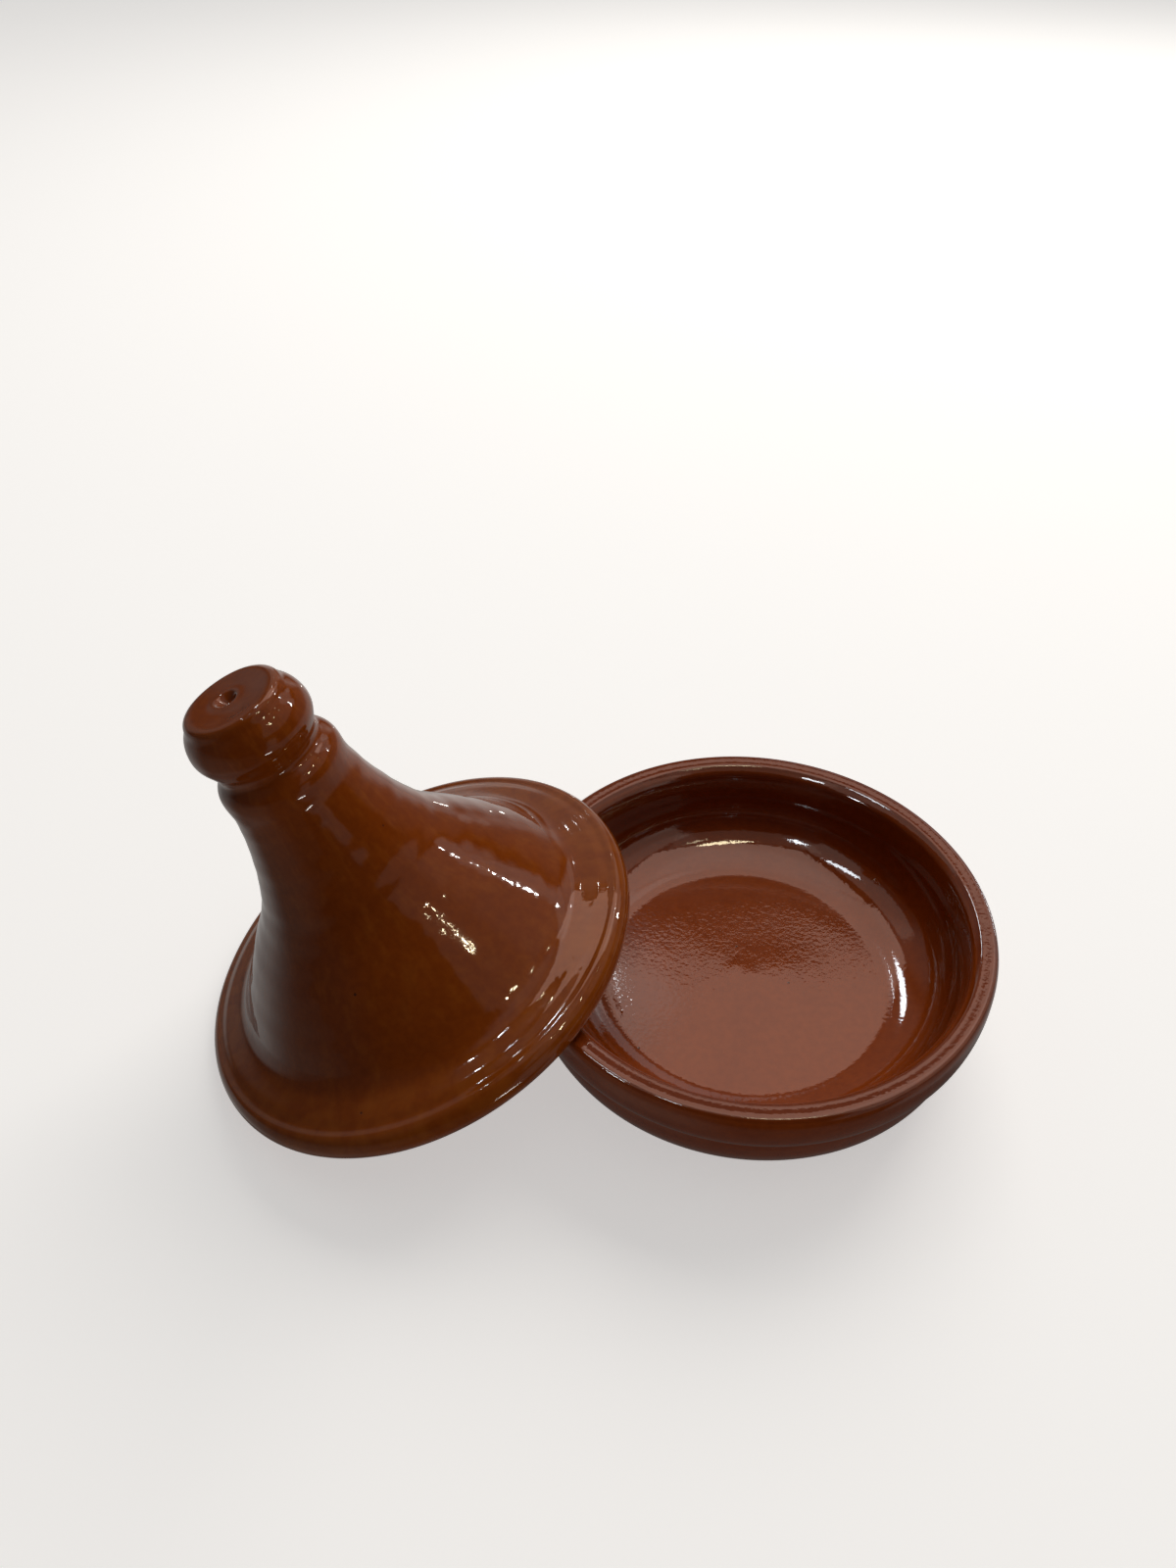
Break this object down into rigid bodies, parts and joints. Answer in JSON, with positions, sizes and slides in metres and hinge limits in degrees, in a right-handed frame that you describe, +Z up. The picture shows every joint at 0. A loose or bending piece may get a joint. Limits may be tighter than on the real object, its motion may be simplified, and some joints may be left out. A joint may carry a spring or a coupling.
{
  "type": "tagine",
  "caption": "Small glazed clay tagine: shallow round dish with a swollen rim band, and a tall conical lid with a turned knob, laid leaning on the dish's rim as for serving.",
  "frame": {"origin": "centre of the flat foot under the dish, on the table", "axes": "+Z up along the dish's axis; the lid lies towards -X; Y is across, and the part is symmetric about the XZ plane"},
  "size_m": [0.2649, 0.16, 0.1432],
  "materials": {
    "dish_glaze": "glossy brown glaze over red clay, rippled",
    "lid_glaze": "glossy orange-brown glaze over red clay, streaked"
  },
  "bodies": {
    "dish": {"dish": "dish_glaze"},
    "lid": {"lid": "lid_glaze"}
  },
  "joints": [
    {"name": "lid_swing", "type": "hinge", "parent": "dish", "child": "lid", "pos_m": [-0.00203, 0, -0.26116], "axis": [0, 1, 0], "range_deg": [0, 20.99]}
  ]
}
